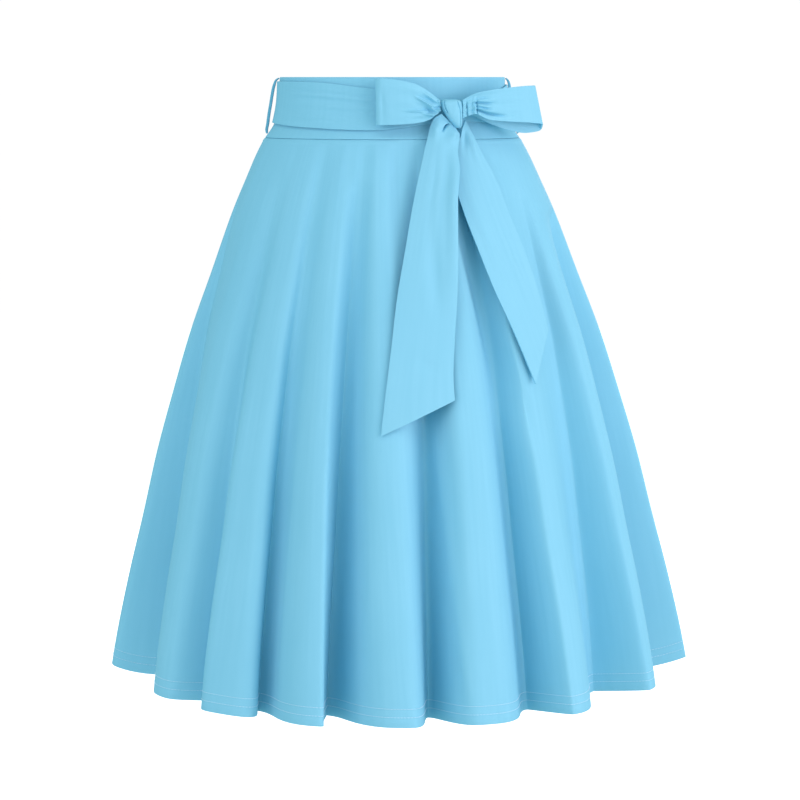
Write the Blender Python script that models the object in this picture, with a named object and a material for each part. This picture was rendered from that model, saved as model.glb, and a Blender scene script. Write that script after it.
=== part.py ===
"""Flared a-line skirt with a waistband, belt loops and a wide sash tied in a bow at the front.

Metres, +Z up. The wearer faces -Y, and +X is at the right of somebody who looks at the front.
The origin is the middle of the waist opening, level with the waistband's top edge, so a point
that lies "drop" below that edge has z = -drop. The skirt keeps the hollow form that it has when
it is worn. Its folds are named and numbered by phase: crest number n is at phase n, and the
valley that follows it, going from the left side round the front to the right and back, is at
phase n + 0.5.
"""

from collections import namedtuple
from math import cos, pi, radians, sin

import bmesh
import bpy
import numpy as np

# ---------------------------------------------------------------- driving sizes
GAP = 0.0003  # between two sewn pieces
WAIST_HALF_WIDTH = 0.122
WAIST_HALF_DEPTH = 0.091
DEPTH_SHARE = 0.912  # growth of the half depth for each metre that the half width grows
BAND_HEIGHT = 0.065
BAND_WALL = 0.0022
SKIRT_WALL = 0.0015
HEM_WALL = 0.0024  # the cloth is turned up here
HEM_TURN = 0.020
HEM_DROP_SIDE = 0.646
HEM_DROP_FRONT = 0.652
HEM_SHIFT = 0.010  # the hem hangs a little to the right of the waist
HEM_RISE = 0.031  # how much lower the hem is where a fold goes all the way in
SIDE_DIP = 0.007  # how much lower it is midway down a fold's flank, at the two sides
SIDE_KEENNESS = 30  # a higher one keeps that dip closer to the sides
LEAN_PEAK = 6.75  # makes the highest value of x(1 - x)(1 - x) between 0 and 1 into 1
SASH_WALL = 0.0015
SASH_STAND = 0.0006  # air between the waistband and the sash
TAIL_WALL = 0.0020
STRAP_WIDTH = 0.009
SMOOTH_UNDER = radians(40)
MOST_MITRE = 2.2  # most that a wall is drawn out along the middle of a sharp bend
FORWARD = np.array([0.0, -1.0, 0.0])

CLOTH_COLOUR = (0.21, 0.57, 0.80, 1.0)
CLOTH_ROUGHNESS = 0.72

# ---------------------------------------------------------------- sections of the body
# Half width of the outside at each drop, over the outermost folds.
Section = namedtuple("Section", "drop half_width")
SECTIONS = [
    Section(0.000, 0.1220),
    Section(0.020, 0.1228),
    Section(0.048, 0.1275),
    Section(0.058, 0.1330),
    Section(0.065, 0.1382),
    Section(0.079, 0.1462),
    Section(0.111, 0.1608),
    Section(0.144, 0.1752),
    Section(0.210, 0.1999),
    Section(0.276, 0.2246),
    Section(0.342, 0.2452),
    Section(0.409, 0.2647),
    Section(0.476, 0.2810),
    Section(0.544, 0.2986),
    Section(0.612, 0.3140),
    Section(0.660, 0.3230),
]

# One row for each fold. Angles are degrees round the oval section, 0 at the front centre and
# positive to the right: _top where the fold leaves the waistband, _hem at the hem. Reach is the
# share of the section's outline at the hem. A plateau over 1 widens the crest on its left, an
# edge over 1 keeps it high on its right before it drops, and lean is how many degrees that right
# flank hangs over. start is the drop where the valley begins, and growth how late it deepens.
Fold = namedtuple(
    "Fold",
    "crest_top crest_hem crest_reach plateau edge lean valley_top valley_hem valley_reach start growth",
)
FRONT_FOLDS = [
    Fold(-90.0, -89.1, 1.006, 1.0, 1.95, 1.9, -84.5, -82.5, 0.725, 0.100, 1.10),
    Fold(-55.0, -54.0, 0.978, 1.0, 1.80, 0.2, -48.0, -47.2, 0.845, 0.100, 0.73),
    Fold(-35.5, -35.4, 1.012, 2.5, 1.10, 5.6, -29.5, -33.4, 0.845, 0.068, 0.72),
    Fold(-20.0, -15.5, 1.039, 1.1, 1.45, 2.6, -12.7, -18.9, 0.755, 0.106, 0.52),
    Fold(-5.4, 0.4, 1.010, 1.2, 1.55, 0.8, 9.5, 6.6, 0.740, 0.066, 0.48),
    Fold(18.5, 16.1, 0.996, 2.2, 1.23, 0.2, 29.5, 32.2, 0.765, 0.072, 0.52),
    Fold(35.0, 34.5, 0.995, 3.8, 0.84, 0.0, 54.5, 58.6, 0.750, 0.120, 0.66),
    Fold(62.5, 62.0, 0.949, 4.2, 0.92, 1.0, 84.3, 91.3, 0.600, 0.141, 0.57),
]
BACK_FOLDS = [
    Fold(90.0, 93.6, 1.000, 1.4, 1.20, 0.0, 103.0, 106.0, 0.800, 0.090, 0.75),
    Fold(115.0, 118.0, 0.990, 1.6, 1.20, 1.5, 127.0, 127.0, 0.780, 0.100, 0.65),
    Fold(141.0, 144.0, 1.015, 1.8, 1.40, 0.5, 154.0, 154.0, 0.775, 0.080, 0.60),
    Fold(167.0, 168.0, 1.000, 1.5, 1.30, 2.0, 177.0, 174.0, 0.765, 0.090, 0.60),
    Fold(193.0, 191.0, 1.020, 1.8, 1.40, 0.5, 205.0, 202.0, 0.785, 0.080, 0.60),
    Fold(219.0, 217.0, 0.995, 1.5, 1.20, 2.0, 229.0, 224.5, 0.770, 0.090, 0.65),
    Fold(243.0, 243.0, 0.985, 1.4, 1.20, 0.5, 255.0, 256.0, 0.820, 0.100, 0.80),
]
FOLDS = FRONT_FOLDS + BACK_FOLDS
SIDE_PHASES = (0, len(FRONT_FOLDS), len(FOLDS))  # left side, right side, left side again

FRONT_COLUMNS_A_FLANK = 6
BACK_COLUMNS_A_FLANK = 5
SKIRT_STATIONS = (0.0, 0.04, 0.10, 0.18, 0.28, 0.39, 0.51, 0.63, 0.75, 0.87)  # share of the fall
HEM_STEP = 0.0025  # drop over which the wall thickens above the turned edge
BAND_STATIONS = (0.0, 0.020, 0.040, 0.052, 0.060, BAND_HEIGHT)
BAND_COLUMNS = 32  # to a half

# ---------------------------------------------------------------- sash and bow
# The sash's edges round the waist. Angle 0 is the front centre.
SashRow = namedtuple("SashRow", "angle top_drop bottom_drop")
SASH_ROWS = [
    SashRow(-180.0, 0.010, 0.053),
    SashRow(-90.0, 0.0045, 0.049),
    SashRow(-45.0, 0.005, 0.053),
    SashRow(-10.0, 0.012, 0.0555),
    SashRow(15.0, 0.019, 0.050),
    SashRow(32.0, 0.025, 0.046),
    SashRow(50.0, 0.020, 0.048),
    SashRow(90.0, 0.008, 0.050),
    SashRow(180.0, 0.010, 0.053),
]
SASH_COLUMNS = 72
SASH_STRANDS = 3

# The two loops of the bow, seen from above: from the knot along the front layer, round the
# end fold and back along the rear layer. slant is how much further to the right the bottom edge
# is than the top one, and crease the depth of the gathers at the knot.
LoopRow = namedtuple("LoopRow", "x y slant top_drop bottom_drop crease")
LEFT_LOOP = [
    LoopRow(0.0498, -0.1035, 0.0, 0.0235, 0.0345, 0.0010),
    LoopRow(0.0400, -0.1095, 0.0, 0.0160, 0.0440, 0.0012),
    LoopRow(0.0250, -0.1140, 0.0, 0.0075, 0.0478, 0.0006),
    LoopRow(0.0060, -0.1155, 0.0, 0.0030, 0.0492, 0.0002),
    LoopRow(-0.0110, -0.1145, 0.0006, 0.0012, 0.0497, 0.0),
    LoopRow(-0.0165, -0.1095, 0.0006, 0.0012, 0.0498, 0.0),
    LoopRow(-0.0110, -0.1045, 0.0006, 0.0020, 0.0500, 0.0),
    LoopRow(0.0080, -0.1040, 0.0, 0.0045, 0.0500, 0.0002),
    LoopRow(0.0280, -0.1015, 0.0, 0.0110, 0.0475, 0.0004),
    LoopRow(0.0400, -0.0990, 0.0, 0.0180, 0.0415, 0.0006),
    LoopRow(0.0498, -0.0955, 0.0, 0.0245, 0.0345, 0.0008),
]
RIGHT_LOOP = [
    LoopRow(0.0742, -0.1010, 0.0, 0.0235, 0.0425, 0.0004),
    LoopRow(0.0870, -0.0995, 0.0, 0.0170, 0.0385, 0.0009),
    LoopRow(0.1020, -0.0960, 0.0010, 0.0138, 0.0445, 0.0007),
    LoopRow(0.1210, -0.0870, 0.0030, 0.0112, 0.0465, 0.0003),
    LoopRow(0.1420, -0.0740, 0.0060, 0.0092, 0.0480, 0.0),
    LoopRow(0.1510, -0.0640, 0.0085, 0.0088, 0.0500, 0.0),
    LoopRow(0.1495, -0.0560, 0.0085, 0.0095, 0.0560, 0.0),
    LoopRow(0.1350, -0.0620, 0.0060, 0.0110, 0.0590, 0.0),
    LoopRow(0.1180, -0.0710, 0.0020, 0.0130, 0.0545, 0.0002),
    LoopRow(0.1020, -0.0790, 0.0, 0.0160, 0.0480, 0.0006),
    LoopRow(0.0870, -0.0860, 0.0, 0.0200, 0.0410, 0.0008),
    LoopRow(0.0745, -0.0900, 0.0, 0.0250, 0.0380, 0.0008),
]
LOOP_STATIONS = 30
LOOP_STRANDS = 8
LOOP_GATHERS = 3  # creases across the strip at the knot

KnotRow = namedtuple("KnotRow", "drop x y half_width half_depth")
KNOT_ROWS = [
    KnotRow(0.0232, 0.0615, -0.0975, 0.0060, 0.0030),
    KnotRow(0.0242, 0.0615, -0.0978, 0.0095, 0.0062),
    KnotRow(0.0275, 0.0618, -0.0982, 0.0113, 0.0086),
    KnotRow(0.0330, 0.0630, -0.0984, 0.0108, 0.0094),
    KnotRow(0.0390, 0.0648, -0.0986, 0.0090, 0.0094),
    KnotRow(0.0450, 0.0668, -0.0986, 0.0070, 0.0088),
    KnotRow(0.0500, 0.0687, -0.0986, 0.0045, 0.0070),
    KnotRow(0.0528, 0.0693, -0.0988, 0.0028, 0.0040),
]
KNOT_COLUMNS = 24
KNOT_STATIONS = 14
KNOT_BOXINESS = 0.8  # 1 is an oval section, less is squarer

# The two hanging ends, from the knot down. _off is the air between the skirt's outline and the
# cloth at that edge, and bulge is what the middle of the strip stands further out.
TailRow = namedtuple(
    "TailRow", "left_drop left_x left_off right_drop right_x right_off bulge"
)
LEFT_TAIL = [
    TailRow(0.0382, 0.0515, 0.0150, 0.0560, 0.0690, 0.0160, 0.0000),
    TailRow(0.0425, 0.0445, 0.0140, 0.0585, 0.0695, 0.0150, 0.0020),
    TailRow(0.0500, 0.0410, 0.0120, 0.0620, 0.0695, 0.0150, 0.0030),
    TailRow(0.0600, 0.0385, 0.0100, 0.0670, 0.0690, 0.0160, 0.0030),
    TailRow(0.0756, 0.0345, 0.0075, 0.0790, 0.0682, 0.0175, 0.0020),
    TailRow(0.1000, 0.0290, 0.0060, 0.0960, 0.0700, 0.0190, 0.0010),
    TailRow(0.1350, 0.0215, 0.0050, 0.1280, 0.0680, 0.0185, 0.0005),
    TailRow(0.1800, 0.0135, 0.0045, 0.1750, 0.0680, 0.0155, 0.0000),
    TailRow(0.2274, 0.0053, 0.0040, 0.2200, 0.0672, 0.0115, 0.0000),
    TailRow(0.2800, -0.0010, 0.0035, 0.2650, 0.0645, 0.0070, 0.0000),
    TailRow(0.3271, -0.0069, 0.0030, 0.3000, 0.0628, 0.0045, 0.0005),
    TailRow(0.3633, -0.0110, 0.0030, 0.3280, 0.0641, 0.0045, 0.0010),
]
RIGHT_TAIL = [
    TailRow(0.0540, 0.0725, 0.0110, 0.0450, 0.0765, 0.0110, 0.0000),
    TailRow(0.0600, 0.0722, 0.0085, 0.0560, 0.0815, 0.0090, 0.0010),
    TailRow(0.0690, 0.0690, 0.0050, 0.0660, 0.0868, 0.0065, 0.0015),
    TailRow(0.0850, 0.0650, 0.0025, 0.0800, 0.0940, 0.0050, 0.0015),
    TailRow(0.1080, 0.0655, 0.0015, 0.1044, 0.1074, 0.0040, 0.0010),
    TailRow(0.1400, 0.0745, 0.0025, 0.1387, 0.1209, 0.0030, 0.0005),
    TailRow(0.1750, 0.0880, 0.0050, 0.1831, 0.1392, 0.0025, 0.0000),
    TailRow(0.2150, 0.1040, 0.0060, 0.2180, 0.1510, 0.0020, 0.0000),
    TailRow(0.2650, 0.1270, 0.0060, 0.2450, 0.1585, 0.0020, 0.0000),
    TailRow(0.3158, 0.1483, 0.0040, 0.2631, 0.1625, 0.0020, 0.0000),
]
TAIL_STATIONS = 24
TAIL_STRANDS = 7

# A belt loop is a short strap at each side: how far its inside stands off the waistband, and
# how thick the folded strap is.
StrapRow = namedtuple("StrapRow", "drop left_off right_off thick")
STRAP_ROWS = [
    StrapRow(0.0016, GAP, GAP, 0.0014),
    StrapRow(0.0045, 0.0033, 0.0024, 0.0022),
    StrapRow(0.0080, 0.0042, 0.0032, 0.0028),
    StrapRow(0.0140, 0.0054, 0.0034, 0.0032),
    StrapRow(0.0250, 0.0066, 0.0034, 0.0032),
    StrapRow(0.0360, 0.0069, 0.0033, 0.0032),
    StrapRow(0.0470, 0.0062, 0.0032, 0.0032),
    StrapRow(0.0560, 0.0034, 0.0026, 0.0030),
    StrapRow(0.0610, GAP, GAP, 0.0020),
]
STRAP_STATIONS = 20


# ---------------------------------------------------------------- curves through tables
def smooth(rows, places, keys=None):
    """Reads every column of a table at the given places, along one soft curve through its rows.

    keys are the rows' own places. Left out, they are 0, 1, 2 and so on.
    """
    values = np.array(rows, float)
    keys = np.arange(len(values), dtype=float) if keys is None else np.array(keys, float)
    steps = np.diff(keys)[:, None]
    slopes = np.diff(values, axis=0) / steps
    bends = np.empty_like(values)
    bends[0], bends[-1] = slopes[0], slopes[-1]
    before, after = slopes[:-1], slopes[1:]
    same_way = before * after > 0
    mean = 2 * before * after / np.where(same_way, before + after, 1)
    bends[1:-1] = np.where(same_way, mean, 0)
    places = np.clip(np.array(places, float), keys[0], keys[-1])
    at = np.clip(np.searchsorted(keys, places, side="right") - 1, 0, len(steps) - 1)
    step = steps[at]
    t = (places - keys[at])[:, None] / step
    return (
        values[at] * (1 + 2 * t) * (1 - t) ** 2
        + values[at + 1] * t**2 * (3 - 2 * t)
        + bends[at] * step * t * (1 - t) ** 2
        - bends[at + 1] * step * t**2 * (1 - t)
    )


def half_width(drop):
    """Half width of the outside at a drop."""
    return smooth([row[1:] for row in SECTIONS], [drop], [row.drop for row in SECTIONS])[0, 0]


def half_depth(drop):
    """Half depth of the outside at a drop."""
    return WAIST_HALF_DEPTH + DEPTH_SHARE * (half_width(drop) - WAIST_HALF_WIDTH)


def shift(drop):
    """How far the section's middle lies to the right at a drop."""
    fall = max(0.0, drop - BAND_HEIGHT) / (HEM_DROP_SIDE - BAND_HEIGHT)
    return HEM_SHIFT * fall


def on_outline(angle, drop, reach=1.0):
    """The point at an angle, in degrees, on the outline at a drop, or on its share reach."""
    across = reach * half_width(drop) * sin(radians(angle)) + shift(drop)
    back = -reach * half_depth(drop) * cos(radians(angle))
    return np.array([across, back, -drop])


# ---------------------------------------------------------------- the folded skirt
def fold_at(number):
    """The fold with this number. Numbers go on past one turn, and angles with them."""
    turns, index = divmod(number, len(FOLDS))
    fold = FOLDS[index]
    turn = 360.0 * turns
    return fold._replace(
        crest_top=fold.crest_top + turn,
        crest_hem=fold.crest_hem + turn,
        valley_top=fold.valley_top + turn,
        valley_hem=fold.valley_hem + turn,
    )


def skirt_point(phase, fall):
    """The point of the skirt's outside at a phase and at a share of the fall to the hem."""
    number = int(np.floor(phase))
    along = 2 * (phase - number)
    fold = fold_at(number)
    if along <= 1:  # the right flank, from this crest down into its valley
        start_top, end_top = fold.crest_top, fold.valley_top
        start_hem, end_hem = fold.crest_hem, fold.valley_hem
        crest, height = fold, cos(pi * along**fold.edge / 2) ** 2
        lean = fold.lean * LEAN_PEAK * along * (1 - along) ** 2
    else:  # the left flank of the next crest
        along -= 1
        crest = fold_at(number + 1)
        start_top, end_top = fold.valley_top, crest.crest_top
        start_hem, end_hem = fold.valley_hem, crest.crest_hem
        height = 1 - (cos(pi * along / 2) ** 2) ** crest.plateau
        lean = 0.0
    top = start_top + (end_top - start_top) * along
    hem = start_hem + (end_hem - start_hem) * along + lean
    angle = top + (hem - top) * fall
    hem_reach = fold.valley_reach + (crest.crest_reach - fold.valley_reach) * height
    hem_drop = HEM_DROP_SIDE + (HEM_DROP_FRONT - HEM_DROP_SIDE) * cos(radians(hem)) ** 2
    hem_drop += HEM_RISE * (1 - hem_reach)
    hem_drop += SIDE_DIP * 4 * height * (1 - height) * abs(sin(radians(hem))) ** SIDE_KEENNESS
    seam_drop = BAND_HEIGHT + GAP
    drop = seam_drop + fall * (hem_drop - seam_drop)
    opened = max(0.0, drop - fold.start) / (hem_drop - fold.start)
    valley = 1 - (1 - fold.valley_reach) * opened**fold.growth
    ridge = 1 - (1 - crest.crest_reach) * opened
    return on_outline(angle, drop, valley + (ridge - valley) * height)


# ---------------------------------------------------------------- walls
def level_normals(points, closed):
    """Outward level directions of a grid of points, longer where the wall leans or bends sharply.

    Moving each point by this times a thickness gives a wall that thick, with level rims.
    Rows run down and columns run to the right, seen from outside.
    """
    steps = np.diff(points, axis=1)
    if closed:
        last = points[:, :1] - points[:, -1:]
        before, after = np.concatenate([last, steps], axis=1), np.concatenate([steps, last], axis=1)
    else:
        before = np.concatenate([steps[:, :1], steps], axis=1)
        after = np.concatenate([steps, steps[:, -1:]], axis=1)
    across = (
        before / np.linalg.norm(before, axis=2, keepdims=True)
        + after / np.linalg.norm(after, axis=2, keepdims=True)
    )
    mitre = np.minimum(2 / np.linalg.norm(across, axis=2, keepdims=True), MOST_MITRE)
    down = np.gradient(points, axis=0)
    normals = np.cross(down, across)
    normals /= np.linalg.norm(normals, axis=2, keepdims=True)
    level = normals * (1, 1, 0)
    return mitre * level / (np.linalg.norm(level, axis=2, keepdims=True) ** 2)


def wall(name, outer, inner, closed=False):
    """A closed solid between two grids of points. closed joins the last column to the first.

    Its sections are unlike each other, so its faces are lofted from row to row.
    """
    rows, columns = outer.shape[:2]
    mesh = bmesh.new()
    outside = [[mesh.verts.new(point) for point in row] for row in outer]
    inside = [[mesh.verts.new(point) for point in row] for row in inner]
    count = columns if closed else columns - 1
    for grid in (outside, inside):
        for row in range(rows - 1):
            for column in range(count):
                beside = (column + 1) % columns
                mesh.faces.new(
                    (
                        grid[row][column],
                        grid[row + 1][column],
                        grid[row + 1][beside],
                        grid[row][beside],
                    )
                )
    edges = [(0, column, 0, (column + 1) % columns) for column in range(count)]
    edges += [(rows - 1, column, rows - 1, (column + 1) % columns) for column in range(count)]
    if not closed:
        edges += [(row, 0, row + 1, 0) for row in range(rows - 1)]
        edges += [(row, columns - 1, row + 1, columns - 1) for row in range(rows - 1)]
    for row, column, next_row, next_column in edges:
        mesh.faces.new(
            (
                outside[row][column],
                outside[next_row][next_column],
                inside[next_row][next_column],
                inside[row][column],
            )
        )
    return finish(name, mesh)


def finish(name, mesh):
    """Makes an object with cloth on it from a closed mesh."""
    bmesh.ops.recalc_face_normals(mesh, faces=mesh.faces)
    data = bpy.data.meshes.new(name)
    mesh.to_mesh(data)
    mesh.free()
    data.shade_smooth()
    data.set_sharp_from_angle(angle=SMOOTH_UNDER)
    data.materials.append(cloth(name))
    piece = bpy.data.objects.new(name, data)
    COLLECTION.objects.link(piece)
    return piece


def cloth(name):
    """Plain woven cloth in the skirt's blue."""
    material = bpy.data.materials.new(name + "_cloth")
    material.use_nodes = True
    shader = material.node_tree.nodes["Principled BSDF"]
    shader.inputs["Base Color"].default_value = CLOTH_COLOUR
    shader.inputs["Roughness"].default_value = CLOTH_ROUGHNESS
    shader.inputs["Metallic"].default_value = 0.0
    return material


def part_at_sides(points):
    """Draws a panel's two side edges back by half a gap, along the cloth."""
    for edge, beside in ((0, 1), (-1, -2)):
        along = points[:, beside] - points[:, edge]
        length = np.linalg.norm(along, axis=1, keepdims=True)
        points[:, edge] += along / length * GAP / 2
    return points


def panel(name, point_at, phases, stations, thickness):
    """A panel of cloth between two side seams. thickness has one value for each station."""
    reach_out = phases[1] - phases[0]
    phases = [phases[0] - reach_out, *phases, phases[-1] + reach_out]
    grid = np.array([[point_at(phase, station) for phase in phases] for station in stations])
    normals = level_normals(grid, False)
    inner = grid - normals * np.array(thickness)[:, None, None]
    return wall(name, part_at_sides(grid[:, 1:-1]), part_at_sides(inner[:, 1:-1]))


def skirt_panel(name, first, last, columns_a_flank):
    """A skirt panel from one side's phase to the other's, with its turned-up hem."""
    phases = list(np.linspace(first, last, 2 * (last - first) * columns_a_flank + 1))
    fall = HEM_DROP_SIDE - BAND_HEIGHT
    turned = 1 - HEM_TURN / fall
    stations = [*SKIRT_STATIONS, turned - HEM_STEP / fall, turned, 1.0]
    thickness = [SKIRT_WALL] * (len(stations) - 2) + [HEM_WALL] * 2
    return panel(name, skirt_point, phases, stations, thickness)


def waistband(name, first_angle):
    """Half of the waistband, from one side seam to the other."""
    angles = list(np.linspace(first_angle, first_angle + 180, BAND_COLUMNS + 1))
    return panel(name, on_outline, angles, BAND_STATIONS, [BAND_WALL] * len(BAND_STATIONS))


# ---------------------------------------------------------------- sash, bow and belt loops
def sash_waist():
    """The stretch of the sash that goes round the waist, over the waistband."""
    angles = np.linspace(-180, 180, SASH_COLUMNS, endpoint=False)
    edges = smooth([row[1:] for row in SASH_ROWS], angles, [row.angle for row in SASH_ROWS])
    strands = []
    for share in np.linspace(0, 1, SASH_STRANDS + 1):
        drops = edges[:, 0] + (edges[:, 1] - edges[:, 0]) * share
        strands.append([on_outline(angle, drop) for angle, drop in zip(angles, drops)])
    grid = np.array(strands)
    normals = level_normals(grid, True)
    inner = grid + normals * SASH_STAND
    outer = grid + normals * (SASH_STAND + SASH_WALL)
    return wall("sash_waist", outer, inner, closed=True)


def bow_loop(name, rows):
    """One loop of the bow: a strip of cloth that runs out from the knot and back to it."""
    places = np.linspace(0, len(rows) - 1, LOOP_STATIONS + 1)
    path = smooth(rows, places)
    x, y, slant, top, bottom, crease = path.T
    shares = np.linspace(0, 1, LOOP_STRANDS + 1)
    strands = []
    for share in shares:
        drops = top + (bottom - top) * share
        strands.append(np.stack([x + slant * share, y, -drops], axis=1))
    grid = np.array(strands)
    gathers = np.cos(2 * pi * LOOP_GATHERS * shares)[:, None] * crease[None, :]
    normals = level_normals(grid, False)
    middle = grid + normals * gathers[:, :, None]
    return wall(name, middle + normals * SASH_WALL / 2, middle - normals * SASH_WALL / 2)


def bow_knot():
    """The knot: a short stretch of the sash wound tightly round the bow's middle."""
    rows = smooth(KNOT_ROWS, np.linspace(0, len(KNOT_ROWS) - 1, KNOT_STATIONS + 1))
    mesh = bmesh.new()
    rings = []
    for drop, x, y, wide, deep in rows:
        ring = []
        for column in range(KNOT_COLUMNS):
            turn = 2 * pi * column / KNOT_COLUMNS
            side = np.sign(sin(turn)) * abs(sin(turn)) ** KNOT_BOXINESS
            front = np.sign(cos(turn)) * abs(cos(turn)) ** KNOT_BOXINESS
            ring.append(mesh.verts.new((x + wide * side, y - deep * front, -drop)))
        rings.append(ring)
    for upper, lower in zip(rings, rings[1:]):
        for column in range(KNOT_COLUMNS):
            beside = (column + 1) % KNOT_COLUMNS
            mesh.faces.new((upper[column], lower[column], lower[beside], upper[beside]))
    mesh.faces.new(rings[0])
    mesh.faces.new(rings[-1])
    return finish("bow_knot", mesh)


def tail(name, rows):
    """One hanging end of the sash, which lies over the skirt's outermost folds."""
    path = smooth(rows, np.linspace(0, len(rows) - 1, TAIL_STATIONS + 1))
    shares = np.linspace(0, 1, TAIL_STRANDS + 1)
    bases = []
    offs = []
    for left_drop, left_x, left_off, right_drop, right_x, right_off, bulge in path:
        drops = left_drop + (right_drop - left_drop) * shares
        acrosses = left_x + (right_x - left_x) * shares
        base = []
        for drop, across in zip(drops, acrosses):
            share = (across - shift(drop)) / half_width(drop)
            base.append(on_outline(np.degrees(np.arcsin(share)), drop))
        bases.append(base)
        offs.append(left_off + (right_off - left_off) * shares + bulge * np.sin(pi * shares))
    inner = np.array(bases) + np.array(offs)[:, :, None] * FORWARD
    return wall(name, inner + level_normals(inner, False) * TAIL_WALL, inner)


def belt_loop(name, side):
    """A strap that stands off the waistband at one side and holds the sash. side is -1 or 1."""
    rows = smooth(STRAP_ROWS, np.linspace(0, len(STRAP_ROWS) - 1, STRAP_STATIONS + 1))
    drops = rows[:, 0]
    offs = rows[:, 1] if side < 0 else rows[:, 2]
    outs = np.array([half_width(drop) for drop in drops]) + offs
    path = np.stack([outs, -drops], axis=1)
    along = np.gradient(path, axis=0)
    along /= np.linalg.norm(along, axis=1, keepdims=True)
    outward = np.stack([-along[:, 1], along[:, 0]], axis=1)
    outer = path + outward * rows[:, 3:]
    halves = (-STRAP_WIDTH / 2, STRAP_WIDTH / 2)
    inner_grid = np.array([[(side * out, across, z) for across in halves] for out, z in path])
    outer_grid = np.array([[(side * out, across, z) for across in halves] for out, z in outer])
    return wall(name, outer_grid, inner_grid)


# ---------------------------------------------------------------- the whole skirt
for leftover in list(bpy.data.objects):
    bpy.data.objects.remove(leftover)
COLLECTION = bpy.data.collections.new("a_line_skirt")
bpy.context.scene.collection.children.link(COLLECTION)

skirt_panel("skirt_front", SIDE_PHASES[0], SIDE_PHASES[1], FRONT_COLUMNS_A_FLANK)
skirt_panel("skirt_back", SIDE_PHASES[1], SIDE_PHASES[2], BACK_COLUMNS_A_FLANK)
waistband("waistband_front", -90)
waistband("waistband_back", 90)
belt_loop("belt_loop_left", -1)
belt_loop("belt_loop_right", 1)
sash_waist()
bow_loop("bow_loop_left", LEFT_LOOP)
bow_loop("bow_loop_right", RIGHT_LOOP)
bow_knot()
tail("tail_left", LEFT_TAIL)
tail("tail_right", RIGHT_TAIL)
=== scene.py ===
"""Looks of the flared a-line skirt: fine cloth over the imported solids, thread, lights and camera.

Metres, in the part's own frame: the origin is the middle of the waist opening, level with the
waistband's top edge, so a point that lies "drop" below that edge has z = -drop. The tables of
sections, folds, sash and bow are the part's own, and are read here along finer grids.
"""

from collections import namedtuple
from math import cos, pi, radians, sin

import bmesh
import bpy
import numpy as np
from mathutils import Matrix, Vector


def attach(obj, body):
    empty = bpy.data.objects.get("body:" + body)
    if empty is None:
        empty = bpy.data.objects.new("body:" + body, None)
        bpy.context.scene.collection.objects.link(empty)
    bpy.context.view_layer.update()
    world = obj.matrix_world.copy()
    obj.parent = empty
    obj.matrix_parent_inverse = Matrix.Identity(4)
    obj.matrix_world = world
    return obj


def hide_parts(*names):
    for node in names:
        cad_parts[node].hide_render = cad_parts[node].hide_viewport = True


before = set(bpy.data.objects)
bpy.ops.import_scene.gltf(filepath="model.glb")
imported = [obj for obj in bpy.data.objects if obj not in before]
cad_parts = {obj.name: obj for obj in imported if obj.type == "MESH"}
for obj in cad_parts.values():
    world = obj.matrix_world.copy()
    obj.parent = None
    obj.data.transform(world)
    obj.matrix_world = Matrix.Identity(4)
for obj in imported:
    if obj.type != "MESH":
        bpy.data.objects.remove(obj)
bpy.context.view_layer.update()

# ---------------------------------------------------------------- sizes
GAP = 0.0003  # between two sewn pieces
WAIST_HALF_WIDTH = 0.122
WAIST_HALF_DEPTH = 0.091
DEPTH_SHARE = 0.912  # growth of the half depth for each metre that the half width grows
BAND_HEIGHT = 0.065
BAND_WALL = 0.0022
SKIRT_WALL = 0.0013
HEM_WALL = 0.0022  # where the cloth is turned up
HEM_TURN = 0.020
HEM_DROP_SIDE = 0.646
HEM_DROP_FRONT = 0.652
HEM_SHIFT = 0.010  # the hem hangs a little to the right of the waist
HEM_RISE = 0.031  # how much lower the hem is where a fold goes all the way in
SIDE_DIP = 0.007  # how much lower it is midway down a fold's flank, at the two sides
SIDE_KEENNESS = 30  # a higher one keeps that dip closer to the sides
LEAN_PEAK = 6.75  # makes the highest value of x(1 - x)(1 - x) between 0 and 1 into 1
SASH_WALL = 0.0015
SASH_STAND = 0.0006  # air between the waistband and the sash
SASH_CREASE_STAND = 0.0007  # more air, which keeps the sash's troughs off the waistband
TAIL_WALL = 0.0018
STRAP_WIDTH = 0.009
STRAP_EDGE = 0.0016  # thickness that the strap's rims are rounded for
STRAP_PILLOW = 0.0003  # how much fuller the folded strap is along its middle
FORWARD = np.array([0.0, -1.0, 0.0])
MOST_MITRE = 2.2  # most that a wall is drawn out along the middle of a sharp bend
RIM_SHARE = 0.42  # of a wall's thickness that its rounded rim takes
RIM_SEGMENTS = 2
RIM_OVER = radians(60)  # an edge that bends more than this is a rim

STITCH_LENGTH = 0.0026
STITCH_PITCH = 0.0034
STITCH_STAGGER = 0.001  # from one row of stitches to the next
STITCH_SIDES = 5
STITCH_STATIONS = 5
STITCH_ARCH = (0.08, 0.92)  # the stretch of a half wave that a stitch follows
STITCH_LIFT = 1.5  # height of that wave, in thread half widths
STITCH_SINK = 0.6  # how far its foot lies in the cloth, in thread half widths
THREAD_HALF = 0.00028
THREAD_NECK = 0.55  # share of its width that a thread keeps at the foot of that wave
HEM_ROWS = (0.0105, 0.0190)  # height of the two stitch rows above the hem's edge

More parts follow.
